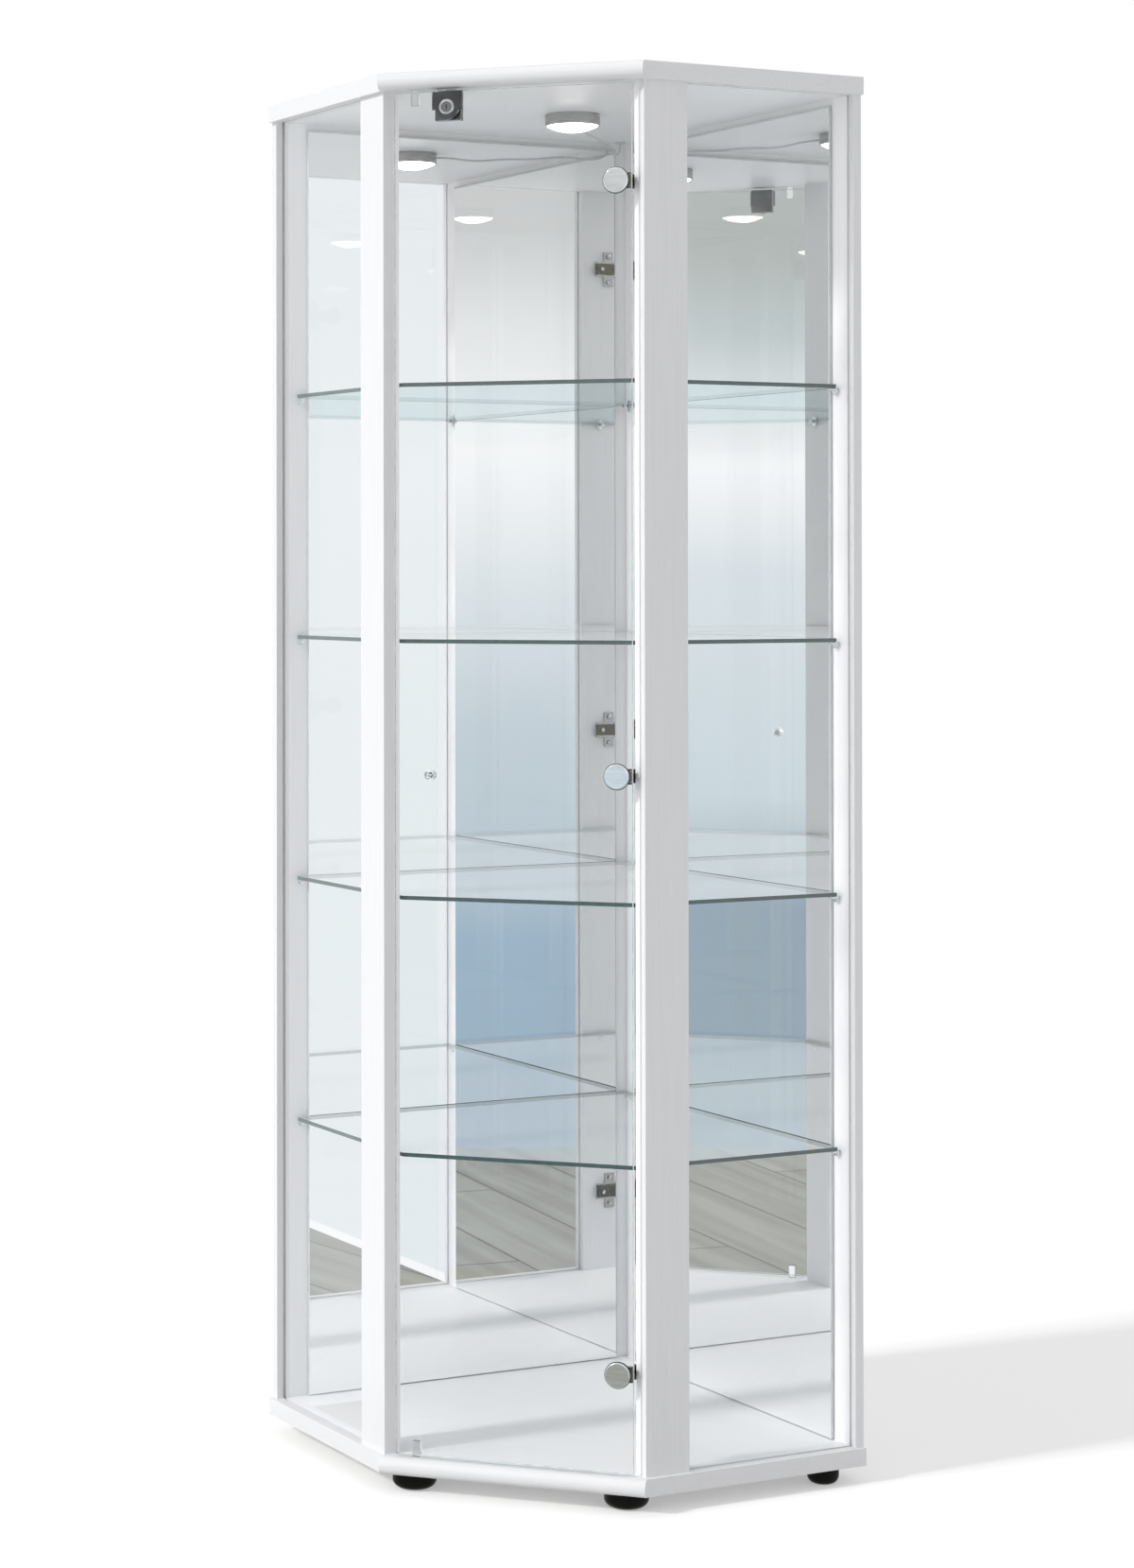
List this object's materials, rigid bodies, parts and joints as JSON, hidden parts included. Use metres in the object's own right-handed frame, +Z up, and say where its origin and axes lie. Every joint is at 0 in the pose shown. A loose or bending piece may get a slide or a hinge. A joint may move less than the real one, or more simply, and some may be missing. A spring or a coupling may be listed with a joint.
{
  "type": "corner display cabinet",
  "caption": "Tall white five-sided corner display cabinet with mirrored back, glass sides, hinged glass door with lock, glass shelves, a light under the top and round black feet.",
  "frame": {"origin": "middle of the footprint's bounding box, on the floor", "axes": "+Z up; -Y out through the door; +Y to the corner of the room; +X to the right seen from the front"},
  "size_m": [0.792, 0.6346, 1.76],
  "materials": {
    "white_board": "satin",
    "side_glass": "clear",
    "door_glass": "clear",
    "shelf_glass": "clear",
    "silvered_glass": "polished",
    "foam_tape": "matte",
    "plated_steel": "polished",
    "zinc_screws": "satin",
    "cover_plastic": "satin",
    "foot_plastic": "gloss",
    "led_ring_metal": "satin",
    "frosted_lens": "frosted",
    "circuit_board": "satin",
    "lead_sheath": "satin",
    "socket_plastic": "satin",
    "hinge_metal": "satin",
    "cap_metal": "satin",
    "gasket_rubber": "matte",
    "pin_steel": "satin",
    "clear_plastic": "clear",
    "lock_metal": "polished",
    "lock_steel": "satin"
  },
  "bodies": {
    "carcass": {"top_panel": "white_board", "base_panel": "white_board", "front_post_right": "white_board", "front_post_left": "white_board", "back_panel_right": "white_board", "back_panel_left": "white_board", "side_glass_right": "side_glass", "side_glass_left": "side_glass", "glass_shelf_1": "shelf_glass", "glass_shelf_2": "shelf_glass", "glass_shelf_3": "shelf_glass", "glass_shelf_4": "shelf_glass", "mirror_right": "silvered_glass", "mirror_left": "silvered_glass", "mirror_tape_right": "foam_tape", "mirror_tape_left": "foam_tape", "shelf_pins_1": "plated_steel", "shelf_pins_2": "plated_steel", "shelf_pins_3": "plated_steel", "shelf_pins_4": "plated_steel", "carcass_screws_base": "zinc_screws", "carcass_screws_top": "zinc_screws", "foot_screws": "zinc_screws", "led_screws": "zinc_screws", "hinge_screws": "zinc_screws", "screw_covers_top": "cover_plastic", "foot_front_left": "foot_plastic", "foot_front_right": "foot_plastic", "foot_side_left": "foot_plastic", "foot_side_right": "foot_plastic", "foot_back": "foot_plastic", "led_housing": "led_ring_metal", "led_lens": "frosted_lens", "led_board": "circuit_board", "led_lead": "lead_sheath", "power_inlet": "socket_plastic", "hinge_arm_bottom": "hinge_metal", "hinge_arm_middle": "hinge_metal", "hinge_arm_top": "hinge_metal", "hinge_plate_bottom": "hinge_metal", "hinge_plate_middle": "hinge_metal", "hinge_plate_top": "hinge_metal", "door_stops": "clear_plastic", "lock_strike": "lock_steel"},
    "door": {"door_glass": "door_glass", "door_knob": "clear_plastic", "knob_screw": "zinc_screws", "hinge_gaskets": "gasket_rubber", "hinge_pins": "pin_steel", "lock_body": "lock_metal", "lock_case": "lock_metal", "hinge_cup_bottom": "hinge_metal", "hinge_cup_middle": "hinge_metal", "hinge_cup_top": "hinge_metal", "hinge_cap_bottom": "cap_metal", "hinge_cap_middle": "cap_metal", "hinge_cap_top": "cap_metal"},
    "lock_cylinder": {"lock_cylinder": "lock_steel"},
    "lock_bolt": {"lock_bolt": "lock_steel"}
  },
  "joints": [
    {"name": "door_hinge", "type": "hinge", "parent": "carcass", "child": "door", "pos_m": [0.14595, -0.29503, 0.891], "axis": [0, 0, 1], "range_deg": [0, 95]},
    {"name": "lock_turn", "type": "hinge", "parent": "door", "child": "lock_cylinder", "pos_m": [-0.08045, -0.30633, 1.714], "axis": [0, 1, 0], "range_deg": [0, 90]},
    {"name": "bolt_slide", "type": "slide", "parent": "door", "child": "lock_bolt", "axis": [0, 0, 1], "range_m": [0, 0.007]}
  ],
  "couplings": [
    {"joint": "lock_turn", "follows": "bolt_slide", "rad_per_m": 224.4}
  ]
}
